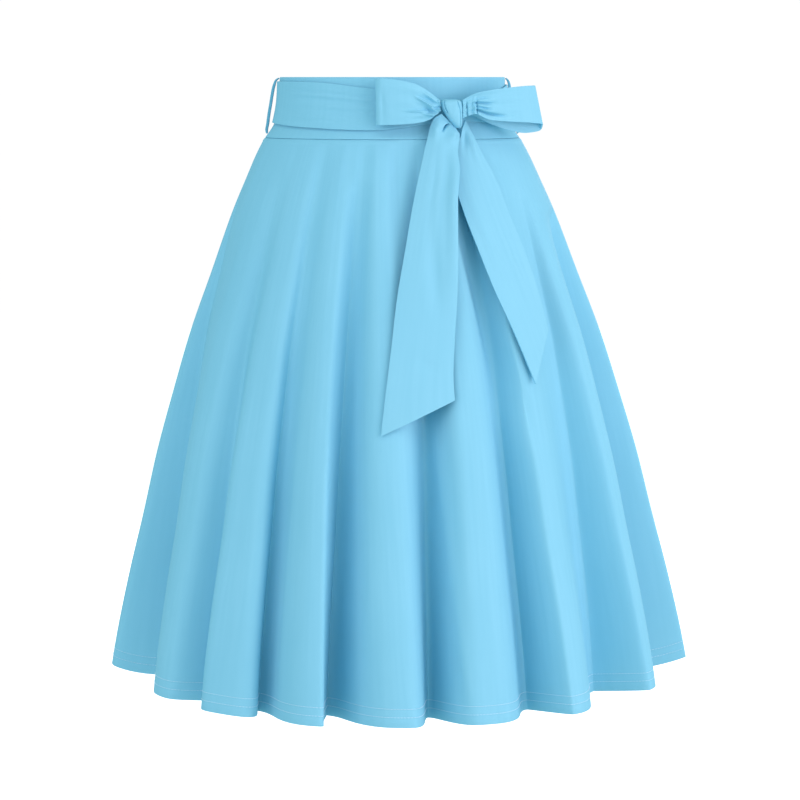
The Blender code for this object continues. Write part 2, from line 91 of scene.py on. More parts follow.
# ---------------------------------------------------------------- the part's tables
# Half width of the outside at each drop, for a reach of 1.
Section = namedtuple("Section", "drop half_width")
SECTIONS = [
    Section(0.000, 0.1220),
    Section(0.020, 0.1228),
    Section(0.048, 0.1275),
    Section(0.058, 0.1330),
    Section(0.065, 0.1382),
    Section(0.079, 0.1462),
    Section(0.111, 0.1608),
    Section(0.144, 0.1752),
    Section(0.210, 0.1999),
    Section(0.276, 0.2246),
    Section(0.342, 0.2452),
    Section(0.409, 0.2647),
    Section(0.476, 0.2810),
    Section(0.544, 0.2986),
    Section(0.612, 0.3140),
    Section(0.660, 0.3230),
]
# One row for each fold. Angles are degrees round the oval section, 0 at the front centre and
# positive to the right: _top at the waistband, _hem at the hem. A reach is the share of the half
# width and half depth at the hem. A plateau over 1 widens the crest on its left, an edge over 1
# keeps it high on its right, and lean is how many degrees that flank hangs over. start is the
# drop where the fold begins, and a growth over 1 lets its valley deepen later.
Fold = namedtuple(
    "Fold",
    "crest_top crest_hem crest_reach plateau edge lean "
    "valley_top valley_hem valley_reach start growth",
)
FRONT_FOLDS = [
    Fold(-90.0, -89.1, 1.006, 1.0, 1.95, 1.9, -84.5, -82.5, 0.725, 0.100, 1.10),
    Fold(-55.0, -54.0, 0.978, 1.0, 1.80, 0.2, -48.0, -47.2, 0.845, 0.100, 0.73),
    Fold(-35.5, -35.4, 1.012, 2.5, 1.10, 5.6, -29.5, -33.4, 0.845, 0.068, 0.72),
    Fold(-20.0, -15.5, 1.039, 1.1, 1.45, 2.6, -12.7, -18.9, 0.755, 0.106, 0.52),
    Fold(-5.4, 0.4, 1.010, 1.2, 1.55, 0.8, 9.5, 6.6, 0.740, 0.066, 0.48),
    Fold(18.5, 16.1, 0.996, 2.2, 1.23, 0.2, 29.5, 32.2, 0.765, 0.072, 0.52),
    Fold(35.0, 34.5, 0.995, 3.8, 0.84, 0.0, 54.5, 58.6, 0.750, 0.120, 0.66),
    Fold(62.5, 62.0, 0.949, 4.2, 0.92, 1.0, 84.3, 91.3, 0.600, 0.141, 0.57),
]
BACK_FOLDS = [
    Fold(90.0, 93.6, 1.000, 1.4, 1.20, 0.0, 103.0, 106.0, 0.800, 0.090, 0.75),
    Fold(115.0, 118.0, 0.990, 1.6, 1.20, 1.5, 127.0, 127.0, 0.780, 0.100, 0.65),
    Fold(141.0, 144.0, 1.015, 1.8, 1.40, 0.5, 154.0, 154.0, 0.775, 0.080, 0.60),
    Fold(167.0, 168.0, 1.000, 1.5, 1.30, 2.0, 177.0, 174.0, 0.765, 0.090, 0.60),
    Fold(193.0, 191.0, 1.020, 1.8, 1.40, 0.5, 205.0, 202.0, 0.785, 0.080, 0.60),
    Fold(219.0, 217.0, 0.995, 1.5, 1.20, 2.0, 229.0, 224.5, 0.770, 0.090, 0.65),
    Fold(243.0, 243.0, 0.985, 1.4, 1.20, 0.5, 255.0, 256.0, 0.820, 0.100, 0.80),
]
FOLDS = FRONT_FOLDS + BACK_FOLDS
SIDE_PHASES = (0, len(FRONT_FOLDS), len(FOLDS))  # left side, right side, left side again

# The sash's edges round the waist. Angle 0 is the front centre.
SashRow = namedtuple("SashRow", "angle top_drop bottom_drop")
SASH_ROWS = [
    SashRow(-180.0, 0.010, 0.053),
    SashRow(-90.0, 0.0045, 0.049),
    SashRow(-45.0, 0.005, 0.053),
    SashRow(-10.0, 0.012, 0.0555),
    SashRow(15.0, 0.019, 0.050),
    SashRow(32.0, 0.025, 0.046),
    SashRow(50.0, 0.020, 0.048),
    SashRow(90.0, 0.008, 0.050),
    SashRow(180.0, 0.010, 0.053),
]
# The bow's loops, seen from above: out along the front layer, round the end fold and back. slant
# is how much further right the bottom edge is than the top one, and crease how far the gathers
# stand out.
LoopRow = namedtuple("LoopRow", "x y slant top_drop bottom_drop crease")
LEFT_LOOP = [
    LoopRow(0.0498, -0.1035, 0.0, 0.0235, 0.0345, 0.0010),
    LoopRow(0.0400, -0.1095, 0.0, 0.0160, 0.0440, 0.0012),
    LoopRow(0.0250, -0.1140, 0.0, 0.0075, 0.0478, 0.0006),
    LoopRow(0.0060, -0.1155, 0.0, 0.0030, 0.0492, 0.0002),
    LoopRow(-0.0110, -0.1145, 0.0006, 0.0012, 0.0497, 0.0),
    LoopRow(-0.0165, -0.1095, 0.0006, 0.0012, 0.0498, 0.0),
    LoopRow(-0.0110, -0.1045, 0.0006, 0.0020, 0.0500, 0.0),
    LoopRow(0.0080, -0.1040, 0.0, 0.0045, 0.0500, 0.0002),
    LoopRow(0.0280, -0.1015, 0.0, 0.0110, 0.0475, 0.0004),
    LoopRow(0.0400, -0.0990, 0.0, 0.0180, 0.0415, 0.0006),
    LoopRow(0.0498, -0.0955, 0.0, 0.0245, 0.0345, 0.0008),
]
RIGHT_LOOP = [
    LoopRow(0.0742, -0.1010, 0.0, 0.0235, 0.0425, 0.0004),
    LoopRow(0.0870, -0.0995, 0.0, 0.0170, 0.0385, 0.0009),
    LoopRow(0.1020, -0.0960, 0.0010, 0.0138, 0.0445, 0.0007),
    LoopRow(0.1210, -0.0870, 0.0030, 0.0112, 0.0465, 0.0003),
    LoopRow(0.1420, -0.0740, 0.0060, 0.0092, 0.0480, 0.0),
    LoopRow(0.1510, -0.0640, 0.0085, 0.0088, 0.0500, 0.0),
    LoopRow(0.1495, -0.0560, 0.0085, 0.0095, 0.0560, 0.0),
    LoopRow(0.1350, -0.0620, 0.0060, 0.0110, 0.0590, 0.0),
    LoopRow(0.1180, -0.0710, 0.0020, 0.0130, 0.0545, 0.0002),
    LoopRow(0.1020, -0.0790, 0.0, 0.0160, 0.0480, 0.0006),
    LoopRow(0.0870, -0.0860, 0.0, 0.0200, 0.0410, 0.0008),
    LoopRow(0.0745, -0.0900, 0.0, 0.0250, 0.0380, 0.0008),
]
LOOP_GATHERS = 3  # across the strip
KnotRow = namedtuple("KnotRow", "drop x y half_width half_depth")
KNOT_ROWS = [
    KnotRow(0.0232, 0.0615, -0.0975, 0.0060, 0.0030),
    KnotRow(0.0242, 0.0615, -0.0978, 0.0095, 0.0062),
    KnotRow(0.0275, 0.0618, -0.0982, 0.0113, 0.0086),
    KnotRow(0.0330, 0.0630, -0.0984, 0.0108, 0.0094),
    KnotRow(0.0390, 0.0648, -0.0986, 0.0090, 0.0094),
    KnotRow(0.0450, 0.0668, -0.0986, 0.0070, 0.0088),
    KnotRow(0.0500, 0.0687, -0.0986, 0.0045, 0.0070),
    KnotRow(0.0528, 0.0693, -0.0988, 0.0028, 0.0040),
]
KNOT_BOXINESS = 0.8  # 1 is an oval section, less is squarer
# The two hanging ends, from the knot down. left_off and right_off are how far the two edges stand
# in front of the skirt's outline, and bulge is how much further the middle of the strip does.
TailRow = namedtuple(
    "TailRow", "left_drop left_x left_off right_drop right_x right_off bulge"
)
LEFT_TAIL = [
    TailRow(0.0382, 0.0515, 0.0150, 0.0560, 0.0690, 0.0160, 0.0000),
    TailRow(0.0425, 0.0445, 0.0140, 0.0585, 0.0695, 0.0150, 0.0020),
    TailRow(0.0500, 0.0410, 0.0120, 0.0620, 0.0695, 0.0150, 0.0030),
    TailRow(0.0600, 0.0385, 0.0100, 0.0670, 0.0690, 0.0160, 0.0030),
    TailRow(0.0756, 0.0345, 0.0075, 0.0790, 0.0682, 0.0175, 0.0020),
    TailRow(0.1000, 0.0290, 0.0060, 0.0960, 0.0700, 0.0190, 0.0010),
    TailRow(0.1350, 0.0215, 0.0050, 0.1280, 0.0680, 0.0185, 0.0005),
    TailRow(0.1800, 0.0135, 0.0045, 0.1750, 0.0680, 0.0155, 0.0000),
    TailRow(0.2274, 0.0053, 0.0040, 0.2200, 0.0672, 0.0115, 0.0000),
    TailRow(0.2800, -0.0010, 0.0035, 0.2650, 0.0645, 0.0070, 0.0000),
    TailRow(0.3271, -0.0069, 0.0030, 0.3000, 0.0628, 0.0045, 0.0005),
    TailRow(0.3633, -0.0110, 0.0030, 0.3280, 0.0641, 0.0045, 0.0010),
]
RIGHT_TAIL = [
    TailRow(0.0540, 0.0725, 0.0110, 0.0450, 0.0765, 0.0110, 0.0000),
    TailRow(0.0600, 0.0722, 0.0085, 0.0560, 0.0815, 0.0090, 0.0010),
    TailRow(0.0690, 0.0690, 0.0050, 0.0660, 0.0868, 0.0065, 0.0015),
    TailRow(0.0850, 0.0650, 0.0025, 0.0800, 0.0940, 0.0050, 0.0015),
    TailRow(0.1080, 0.0655, 0.0015, 0.1044, 0.1074, 0.0040, 0.0010),
    TailRow(0.1400, 0.0745, 0.0025, 0.1387, 0.1209, 0.0030, 0.0005),
    TailRow(0.1750, 0.0880, 0.0050, 0.1831, 0.1392, 0.0025, 0.0000),
    TailRow(0.2150, 0.1040, 0.0060, 0.2180, 0.1510, 0.0020, 0.0000),
    TailRow(0.2650, 0.1270, 0.0060, 0.2450, 0.1585, 0.0020, 0.0000),
    TailRow(0.3158, 0.1483, 0.0040, 0.2631, 0.1625, 0.0020, 0.0000),
]
# The belt loops: how far each strap's inside stands off the waistband, and its thickness.
StrapRow = namedtuple("StrapRow", "drop left_off right_off thick")
STRAP_ROWS = [
    StrapRow(0.0016, GAP, GAP, 0.0014),
    StrapRow(0.0045, 0.0033, 0.0024, 0.0022),
    StrapRow(0.0080, 0.0042, 0.0032, 0.0028),
    StrapRow(0.0140, 0.0054, 0.0034, 0.0032),
    StrapRow(0.0250, 0.0066, 0.0034, 0.0032),
    StrapRow(0.0360, 0.0069, 0.0033, 0.0032),
    StrapRow(0.0470, 0.0062, 0.0032, 0.0032),
    StrapRow(0.0560, 0.0034, 0.0026, 0.0030),
    StrapRow(0.0610, GAP, GAP, 0.0020),
]

# ---------------------------------------------------------------- creases
# Long soft ridges (height over 0) and troughs that run down the skirt between its main folds, from
# one drop to another. The deep one lies under the left edge of the right hanging end.
STREAK_EASE = 0.06  # length over which a streak rises, and dies out
Streak = namedtuple("Streak", "top_angle hem_angle start end half_wide height")
SKIRT_STREAKS = [
    Streak(-62.0, -54.0, 0.12, 0.66, 0.012, 0.0010),
    Streak(-52.0, -50.0, 0.08, 0.45, 0.008, -0.0010),
    Streak(-39.0, -40.0, 0.30, 0.66, 0.010, 0.0012),
    Streak(-24.0, -24.5, 0.10, 0.66, 0.009, 0.0010),
    Streak(-7.0, -6.0, 0.10, 0.60, 0.010, 0.0010),
    Streak(8.0, 13.0, 0.35, 0.66, 0.004, 0.0016),
    Streak(19.5, 49.0, 0.10, 0.40, 0.010, -0.0045),
    Streak(30.0, 33.0, 0.25, 0.66, 0.009, 0.0012),
    Streak(55.0, 58.0, 0.12, 0.55, 0.012, 0.0010),
    Streak(62.0, 63.0, 0.30, 0.66, 0.010, -0.0008),
    Streak(98.0, 100.0, 0.10, 0.60, 0.012, 0.0010),
    Streak(121.0, 124.0, 0.15, 0.66, 0.010, 0.0010),
    Streak(148.0, 150.0, 0.08, 0.50, 0.012, -0.0008),
    Streak(173.0, 174.0, 0.20, 0.66, 0.009, 0.0012),
    Streak(199.0, 198.0, 0.10, 0.55, 0.012, 0.0010),
    Streak(212.0, 211.0, 0.25, 0.66, 0.010, -0.0008),
    Streak(236.0, 235.0, 0.12, 0.66, 0.010, 0.0012),
    Streak(262.0, 262.0, 0.10, 0.60, 0.012, 0.0008),
]
# The seam allowance under the waistband makes a low roll along the top of the skirt.
SEAM_ROLL = 0.0005
SEAM_ROLL_DROP = 0.0678
SEAM_ROLL_HALF = 0.0012
SEAM_ROWS = (0.0008, 0.0016, 0.0024, 0.0032, 0.0040)  # drops under the seam with a row of points
# Short folds where the cloth leaves the waistband.
PUCKER_RISE = 6.0  # a pucker has risen fully at a sixth of its length under the waistband
PUCKER_FADE = 1.3  # a higher one lets it die out sooner
Pucker = namedtuple("Pucker", "angle half_wide length height")
WAIST_PUCKERS = [
    Pucker(-70.0, 0.007, 0.10, 0.0008),
    Pucker(-44.0, 0.006, 0.07, -0.0007),
    Pucker(-29.0, 0.007, 0.12, -0.0010),
    Pucker(-20.0, 0.006, 0.08, 0.0008),
    Pucker(-11.5, 0.007, 0.13, -0.0020),
    Pucker(-6.5, 0.005, 0.11, 0.0012),
    Pucker(2.0, 0.009, 0.17, -0.0040),
    Pucker(-2.8, 0.007, 0.15, 0.0012),
    Pucker(29.0, 0.006, 0.08, 0.0010),
    Pucker(35.0, 0.006, 0.10, -0.0016),
    Pucker(52.0, 0.007, 0.10, -0.0008),
    Pucker(75.0, 0.007, 0.08, 0.0008),
    Pucker(110.0, 0.007, 0.10, -0.0008),
    Pucker(135.0, 0.006, 0.08, 0.0009),
    Pucker(160.0, 0.007, 0.12, -0.0010),
    Pucker(186.0, 0.006, 0.09, 0.0009),
    Pucker(208.0, 0.007, 0.10, -0.0009),
    Pucker(240.0, 0.006, 0.08, 0.0008),
]
# A crease on a strip, from one place to another. u is the share along the strip and v the share
# across it, from the left or top edge. depth under 0 is a ridge. It begins softly at its first
# end, and firm is how much of its depth it keeps at its second.
Crease = namedtuple("Crease", "u1 v1 u2 v2 half_wide depth firm")
LEFT_LOOP_CREASES = [
    Crease(0.22, 0.29, 0.10, 0.50, 0.0012, 0.0040, 1.0),
    Crease(0.15, 0.40, 0.02, 0.88, 0.0011, 0.0048, 1.0),
    Crease(0.29, 0.69, 0.13, 0.69, 0.0011, 0.0026, 1.0),
    Crease(0.19, 0.69, 0.04, 0.94, 0.0011, 0.0038, 1.0),
    Crease(0.17, 0.57, 0.05, 0.77, 0.0014, -0.0020, 0.6),
    Crease(0.24, 0.46, 0.10, 0.60, 0.0026, -0.0014, 0.4),
    Crease(0.18, 0.10, 0.01, 0.36, 0.0013, 0.0026, 1.0),
    Crease(0.04, 0.00, 0.01, 0.60, 0.0007, 0.0026, 1.0),
    Crease(0.26, 0.88, 0.10, 0.90, 0.0020, -0.0012, 0.2),
    Crease(0.40, 0.10, 0.39, 0.95, 0.0035, -0.0012, 0.5),
    Crease(0.95, 0.25, 0.80, 0.35, 0.0025, 0.0016, 0.3),
    Crease(0.98, 0.60, 0.78, 0.70, 0.0025, 0.0016, 0.3),
]
RIGHT_LOOP_CREASES = [
    Crease(0.22, 0.42, 0.09, 0.47, 0.0010, 0.0030, 1.0),
    Crease(0.28, 0.84, 0.11, 0.79, 0.0011, 0.0042, 1.0),
    Crease(0.20, 0.64, 0.10, 0.64, 0.0010, 0.0026, 1.0),
    Crease(0.19, 0.22, 0.09, 0.30, 0.0012, 0.0020, 1.0),
    Crease(0.24, 0.54, 0.11, 0.56, 0.0016, -0.0016, 0.5),
    Crease(0.23, 0.71, 0.11, 0.71, 0.0014, -0.0016, 0.5),
    Crease(0.105, 0.12, 0.107, 1.00, 0.0007, 0.0028, 1.0),
    Crease(0.028, 0.05, 0.034, 1.00, 0.0007, 0.0034, 1.0),
    Crease(0.070, 0.05, 0.072, 1.00, 0.0007, 0.0014, 1.0),
    Crease(0.088, 0.05, 0.088, 0.95, 0.0009, -0.0014, 1.0),
    Crease(0.98, 0.30, 0.80, 0.40, 0.0025, 0.0016, 0.3),
    Crease(0.97, 0.65, 0.82, 0.75, 0.0025, 0.0014, 0.3),
]
LEFT_TAIL_CREASES = [
    Crease(0.00, 0.54, 0.20, 0.42, 0.0009, 0.0080, 0.3),
    Crease(0.01, 0.24, 0.34, 0.22, 0.0050, -0.0050, 0.0),
    Crease(0.01, 0.78, 0.34, 0.74, 0.0045, -0.0045, 0.0),
    Crease(0.32, 0.92, 0.80, 0.94, 0.0070, -0.0035, 0.0),
    Crease(0.56, 0.42, 0.80, 0.78, 0.0070, 0.0026, 0.0),
    Crease(0.84, 0.35, 0.90, 0.90, 0.0060, 0.0010, 0.0),
    Crease(0.26, 0.66, 0.64, 0.72, 0.0050, 0.0014, 0.0),
    Crease(0.32, 0.38, 0.66, 0.42, 0.0040, 0.0010, 0.0),
]
RIGHT_TAIL_CREASES = [
    Crease(0.00, 0.40, 0.36, 0.42, 0.0030, 0.0022, 0.0),
    Crease(0.05, 0.78, 0.45, 0.76, 0.0035, -0.0026, 0.0),
    Crease(0.40, 0.30, 0.90, 0.25, 0.0060, -0.0012, 0.0),
    Crease(0.45, 0.70, 0.85, 0.80, 0.0050, 0.0012, 0.0),
]
KNOT_CREASES = [
    Crease(0.085, 0.12, 0.145, 0.55, 0.0006, 0.0020, 0.8),
    Crease(0.145, 0.40, 0.10, 0.98, 0.0006, 0.0024, 0.8),
    Crease(0.90, 0.05, 0.91, 0.52, 0.0006, 0.0026, 1.0),
    Crease(0.97, 0.10, 0.03, 0.60, 0.0016, 0.0006, 0.0),
    Crease(0.40, 0.20, 0.45, 0.80, 0.0014, 0.0008, 0.4),
    Crease(0.60, 0.20, 0.58, 0.80, 0.0014, 0.0008, 0.4),
]
SASH_CREASES = [
    Crease(0.30, 0.20, 0.470, 0.24, 0.0018, 0.0009, 1.0),
    Crease(0.34, 0.36, 0.475, 0.36, 0.0022, 0.0011, 1.0),
    Crease(0.31, 0.28, 0.470, 0.30, 0.0026, -0.0008, 1.0),
    Crease(0.38, 0.62, 0.475, 0.58, 0.0020, 0.0010, 1.0),
    Crease(0.33, 0.78, 0.460, 0.74, 0.0026, -0.0007, 1.0),
    Crease(0.28, 0.55, 0.440, 0.48, 0.0040, -0.0006, 0.5),
    Crease(0.72, 0.40, 0.620, 0.44, 0.0030, 0.0008, 1.0),
    Crease(0.74, 0.66, 0.640, 0.60, 0.0030, -0.0007, 0.6),
    Crease(0.04, 0.30, 0.200, 0.40, 0.0030, 0.0008, 0.0),
    Crease(0.10, 0.68, 0.240, 0.60, 0.0035, -0.0007, 0.0),
    Crease(0.80, 0.60, 0.930, 0.66, 0.0030, 0.0008, 0.0),
    Crease(0.84, 0.30, 0.970, 0.26, 0.0035, -0.0006, 0.0),
]


# ---------------------------------------------------------------- curves through tables
def smooth(rows, places, keys=None):
    """Reads every column of a table at the given places, along one soft curve through its rows."""
    values = np.array(rows, float)
    keys = np.arange(len(values), dtype=float) if keys is None else np.array(keys, float)
    steps = np.diff(keys)[:, None]
    slopes = np.diff(values, axis=0) / steps
    bends = np.empty_like(values)
    bends[0], bends[-1] = slopes[0], slopes[-1]
    before, after = slopes[:-1], slopes[1:]
    same_way = before * after > 0
    mean = 2 * before * after / np.where(same_way, before + after, 1)
    bends[1:-1] = np.where(same_way, mean, 0)
    places = np.clip(np.array(places, float), keys[0], keys[-1])
    at = np.clip(np.searchsorted(keys, places, side="right") - 1, 0, len(steps) - 1)
    step = steps[at]
    t = (places - keys[at])[:, None] / step
    return (
        values[at] * (1 + 2 * t) * (1 - t) ** 2
        + values[at + 1] * t**2 * (3 - 2 * t)
        + bends[at] * step * t * (1 - t) ** 2
        - bends[at + 1] * step * t**2 * (1 - t)
    )


def half_width(drop):
    """Half width of the outside at each of some drops."""
    flat = np.ravel(drop)
    found = smooth([row[1:] for row in SECTIONS], flat, [row.drop for row in SECTIONS])[:, 0]
    return found.reshape(np.shape(drop))


def half_depth(drop):
    """Half depth of the outside at each of some drops."""
    return WAIST_HALF_DEPTH + DEPTH_SHARE * (half_width(drop) - WAIST_HALF_WIDTH)


def shift(drop):
    """How far the section's middle lies to the right at each of some drops."""
    return HEM_SHIFT * np.maximum(0.0, drop - BAND_HEIGHT) / (HEM_DROP_SIDE - BAND_HEIGHT)


def on_outline(angle, drop, reach=1.0):
    """Points at angles, in degrees, on the outline at drops, or on its share reach."""
    angle, drop = np.broadcast_arrays(np.asarray(angle, float), np.asarray(drop, float))
    across = reach * half_width(drop) * np.sin(np.radians(angle)) + shift(drop)
    back = -reach * half_depth(drop) * np.cos(np.radians(angle))
    return np.stack([across, back, -drop], axis=-1)


# ---------------------------------------------------------------- the folded skirt
def fold_at(number):
    """The fold with this number. Numbers go on past one turn, and angles with them."""
    turns, index = divmod(int(number), len(FOLDS))
    fold = FOLDS[index]
    turn = 360.0 * turns
    return fold._replace(
        crest_top=fold.crest_top + turn,
        crest_hem=fold.crest_hem + turn,
        valley_top=fold.valley_top + turn,
        valley_hem=fold.valley_hem + turn,
    )


def skirt_column(phase, falls):
    """Points of the skirt's outside down one phase, with the angle of each point."""
    number = int(np.floor(phase))
    along = 2 * (phase - number)
    fold = fold_at(number)
    if along <= 1:
        start_top, end_top = fold.crest_top, fold.valley_top
        start_hem, end_hem = fold.crest_hem, fold.valley_hem
        crest, height = fold, cos(pi * along**fold.edge / 2) ** 2
        lean = fold.lean * LEAN_PEAK * along * (1 - along) ** 2
    else:
        along -= 1
        crest = fold_at(number + 1)
        start_top, end_top = fold.valley_top, crest.crest_top
        start_hem, end_hem = fold.valley_hem, crest.crest_hem
        height = 1 - (cos(pi * along / 2) ** 2) ** crest.plateau
        lean = 0.0
    top = start_top + (end_top - start_top) * along
    hem = start_hem + (end_hem - start_hem) * along + lean
    angle = top + (hem - top) * falls
    hem_reach = fold.valley_reach + (crest.crest_reach - fold.valley_reach) * height
    hem_drop = HEM_DROP_SIDE + (HEM_DROP_FRONT - HEM_DROP_SIDE) * cos(radians(hem)) ** 2
    hem_drop += HEM_RISE * (1 - hem_reach)
    hem_drop += SIDE_DIP * 4 * height * (1 - height) * abs(sin(radians(hem))) ** SIDE_KEENNESS
    seam_drop = BAND_HEIGHT + GAP
    drop = seam_drop + falls * (hem_drop - seam_drop)
    opened = np.maximum(0.0, drop - fold.start) / (hem_drop - fold.start)
    valley = 1 - (1 - fold.valley_reach) * opened**fold.growth
    ridge = 1 - (1 - crest.crest_reach) * opened
    return on_outline(angle, drop, valley + (ridge - valley) * height), angle


def bump(distance, half_wide):
    """A soft ridge's height at a distance from its middle line."""
    return np.exp(-((distance / half_wide) ** 2))


def window(drop, start, end):
    """Rises softly from 0 after start and falls back to 0 before end."""
    rise = np.clip((drop - start) / STREAK_EASE, 0, 1)
    fall = np.clip((end - drop) / STREAK_EASE, 0, 1)
    return rise * rise * (3 - 2 * rise) * fall * fall * (3 - 2 * fall)


def skirt_relief(angles, drops):
    """How far the seam's roll, the long streaks and the puckers stand out."""
    relief = SEAM_ROLL * bump(drops - SEAM_ROLL_DROP, SEAM_ROLL_HALF)
    reach = half_width(drops)
    share = (drops - BAND_HEIGHT) / (HEM_DROP_FRONT - BAND_HEIGHT)
    for streak in SKIRT_STREAKS:
        middle = streak.top_angle + (streak.hem_angle - streak.top_angle) * share
        away = np.radians((angles - middle + 180) % 360 - 180) * reach
        relief += (
            streak.height * bump(away, streak.half_wide) * window(drops, streak.start, streak.end)
        )
    for pucker in WAIST_PUCKERS:
        away = np.radians((angles - pucker.angle + 180) % 360 - 180) * reach
        down = (drops - BAND_HEIGHT) / pucker.length
        fade = np.clip(down * PUCKER_RISE, 0, 1) * np.exp(-((down * PUCKER_FADE) ** 2))
        relief += pucker.height * bump(away, pucker.half_wide) * fade
    return relief


# ---------------------------------------------------------------- walls
def level_normals(points, closed):
    """Outward level directions of a grid, longer where the wall leans or bends sharply."""
    steps = np.diff(points, axis=1)
    if closed:
        last = points[:, :1] - points[:, -1:]
        before, after = np.concatenate([last, steps], axis=1), np.concatenate([steps, last], axis=1)
    else:
        before = np.concatenate([steps[:, :1], steps], axis=1)
        after = np.concatenate([steps, steps[:, -1:]], axis=1)
    across = (
        before / np.linalg.norm(before, axis=2, keepdims=True)
        + after / np.linalg.norm(after, axis=2, keepdims=True)
    )
    mitre = np.minimum(2 / np.linalg.norm(across, axis=2, keepdims=True), MOST_MITRE)
    down = np.gradient(points, axis=0)
    normals = np.cross(down, across)
    normals /= np.linalg.norm(normals, axis=2, keepdims=True)
    level = normals * (1, 1, 0)
    return mitre * level / (np.linalg.norm(level, axis=2, keepdims=True) ** 2)


def wall(name, outer, inner, thickness, material, closed=False):
    """A closed cloth wall between two grids of points, with rounded rims and a UV map in metres."""
    rows, columns = outer.shape[:2]
    count = columns if closed else columns - 1
    ring = np.concatenate([outer, outer[:, :1]], axis=1) if closed else outer
    middle = ring[len(ring) // 2]
    along = np.concatenate([[0], np.cumsum(np.linalg.norm(np.diff(middle, axis=0), axis=1))])
    falls = np.linalg.norm(np.diff(ring, axis=0), axis=2).mean(axis=1)
    down = np.concatenate([[0], np.cumsum(falls)])

    verts = np.concatenate([outer.reshape(-1, 3), inner.reshape(-1, 3)])
    faces, uvs = [], []

    def corner(layer, row, column):
        """Number of a point in layer 0, the outside, or 1, the inside."""
        return layer * rows * columns + row * columns + column % columns

    def add(*corners):
        """One face, with the place of its corners on the flat cloth."""
        faces.append([corner(*place) for place in corners])
        uvs.extend((along[column], -down[row]) for _, row, column in corners)

    end = columns - 1
    for row in range(rows - 1):
        for left in range(count):
            right = left + 1
            add((0, row, left), (0, row + 1, left), (0, row + 1, right), (0, row, right))
            add((1, row, left), (1, row, right), (1, row + 1, right), (1, row + 1, left))
    for left in range(count):
        right = left + 1
        add((0, 0, left), (0, 0, right), (1, 0, right), (1, 0, left))
        add((0, rows - 1, right), (0, rows - 1, left), (1, rows - 1, left), (1, rows - 1, right))
    if not closed:
        for row in range(rows - 1):
            add((0, row + 1, 0), (0, row, 0), (1, row, 0), (1, row + 1, 0))
            add((0, row, end), (0, row + 1, end), (1, row + 1, end), (1, row, end))
    data = bpy.data.meshes.new(name)
    data.from_pydata(verts.tolist(), [], faces)
    layer = data.uv_layers.new(name="cloth")
    layer.uv.foreach_set("vector", np.array(uvs, np.float32).ravel())
    piece = finished(name, data, material)
    rim = piece.modifiers.new("rounded_rim", "BEVEL")
    rim.width = thickness * RIM_SHARE
    rim.segments = RIM_SEGMENTS
    rim.limit_method = "ANGLE"
    rim.angle_limit = RIM_OVER
    rim.use_clamp_overlap = True
    return piece


def finished(name, data, material):
    """Makes a smooth piece that rides on the skirt from a mesh."""
    mesh = bmesh.new()
    mesh.from_mesh(data)
    bmesh.ops.recalc_face_normals(mesh, faces=mesh.faces)
    mesh.to_mesh(data)
    mesh.free()
    data.shade_smooth()
    data.materials.append(material)
    piece = bpy.data.objects.new(name, data)
    bpy.context.scene.collection.objects.link(piece)
    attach(piece, "root")
    return piece


def creases(grid, table):
    """How far creases stand out over a strip, whose columns run along it and rows across it."""
    rows, columns = grid.shape[:2]
    v, u = np.meshgrid(np.linspace(0, 1, rows), np.linspace(0, 1, columns), indexing="ij")
    length = np.linalg.norm(np.diff(grid[rows // 2], axis=0), axis=1).sum()
    width = np.linalg.norm(np.diff(grid, axis=0), axis=2).sum(axis=0)[None, :]
    relief = np.zeros((rows, columns))
    for crease in table:
        du, dv = (crease.u2 - crease.u1) * length, (crease.v2 - crease.v1) * width
        pu, pv = (u - crease.u1) * length, (v - crease.v1) * width
        place = np.clip((pu * du + pv * dv) / (du**2 + dv**2), 0, 1)
        away = np.hypot(pu - place * du, pv - place * dv)
        rise, fall = np.clip(2 * place, 0, 1), np.clip(2 - 2 * place, 0, 1)
        end = crease.firm + (1 - crease.firm) * fall * fall * (3 - 2 * fall)
        fade = rise * rise * (3 - 2 * rise) * end
        relief -= crease.depth * bump(away, crease.half_wide) * fade
    return relief


# ---------------------------------------------------------------- materials
def linked(tree, kind, settings=(), **inputs):
    """Adds a node. settings are its properties, and inputs its socket values or links."""
    node = tree.nodes.new(kind)
    for key, value in dict(settings).items():
        setattr(node, key, value)
    for key, value in inputs.items():
        socket = node.inputs[key.replace("_", " ")]
        if isinstance(value, bpy.types.NodeSocket):
            tree.links.new(value, socket)
        else:
            socket.default_value = value
    return node


WEAVE = 0.00042  # from one thread to the next
WEAVE_DEPTH = 0.00008
WAVE_PERIOD = 0.314  # of the wave pattern at a scale of 1
STREAKS = (260.0, 9.0, 1.0)  # faint streaks to a metre, across and along the cloth
STREAK_DEPTH = 0.0004
PATCHES = 9.0  # soft changes of colour to a metre
ROUGHNESS = (0.62, 0.78)
THREAD_FIBRES = 900.0  # to a metre


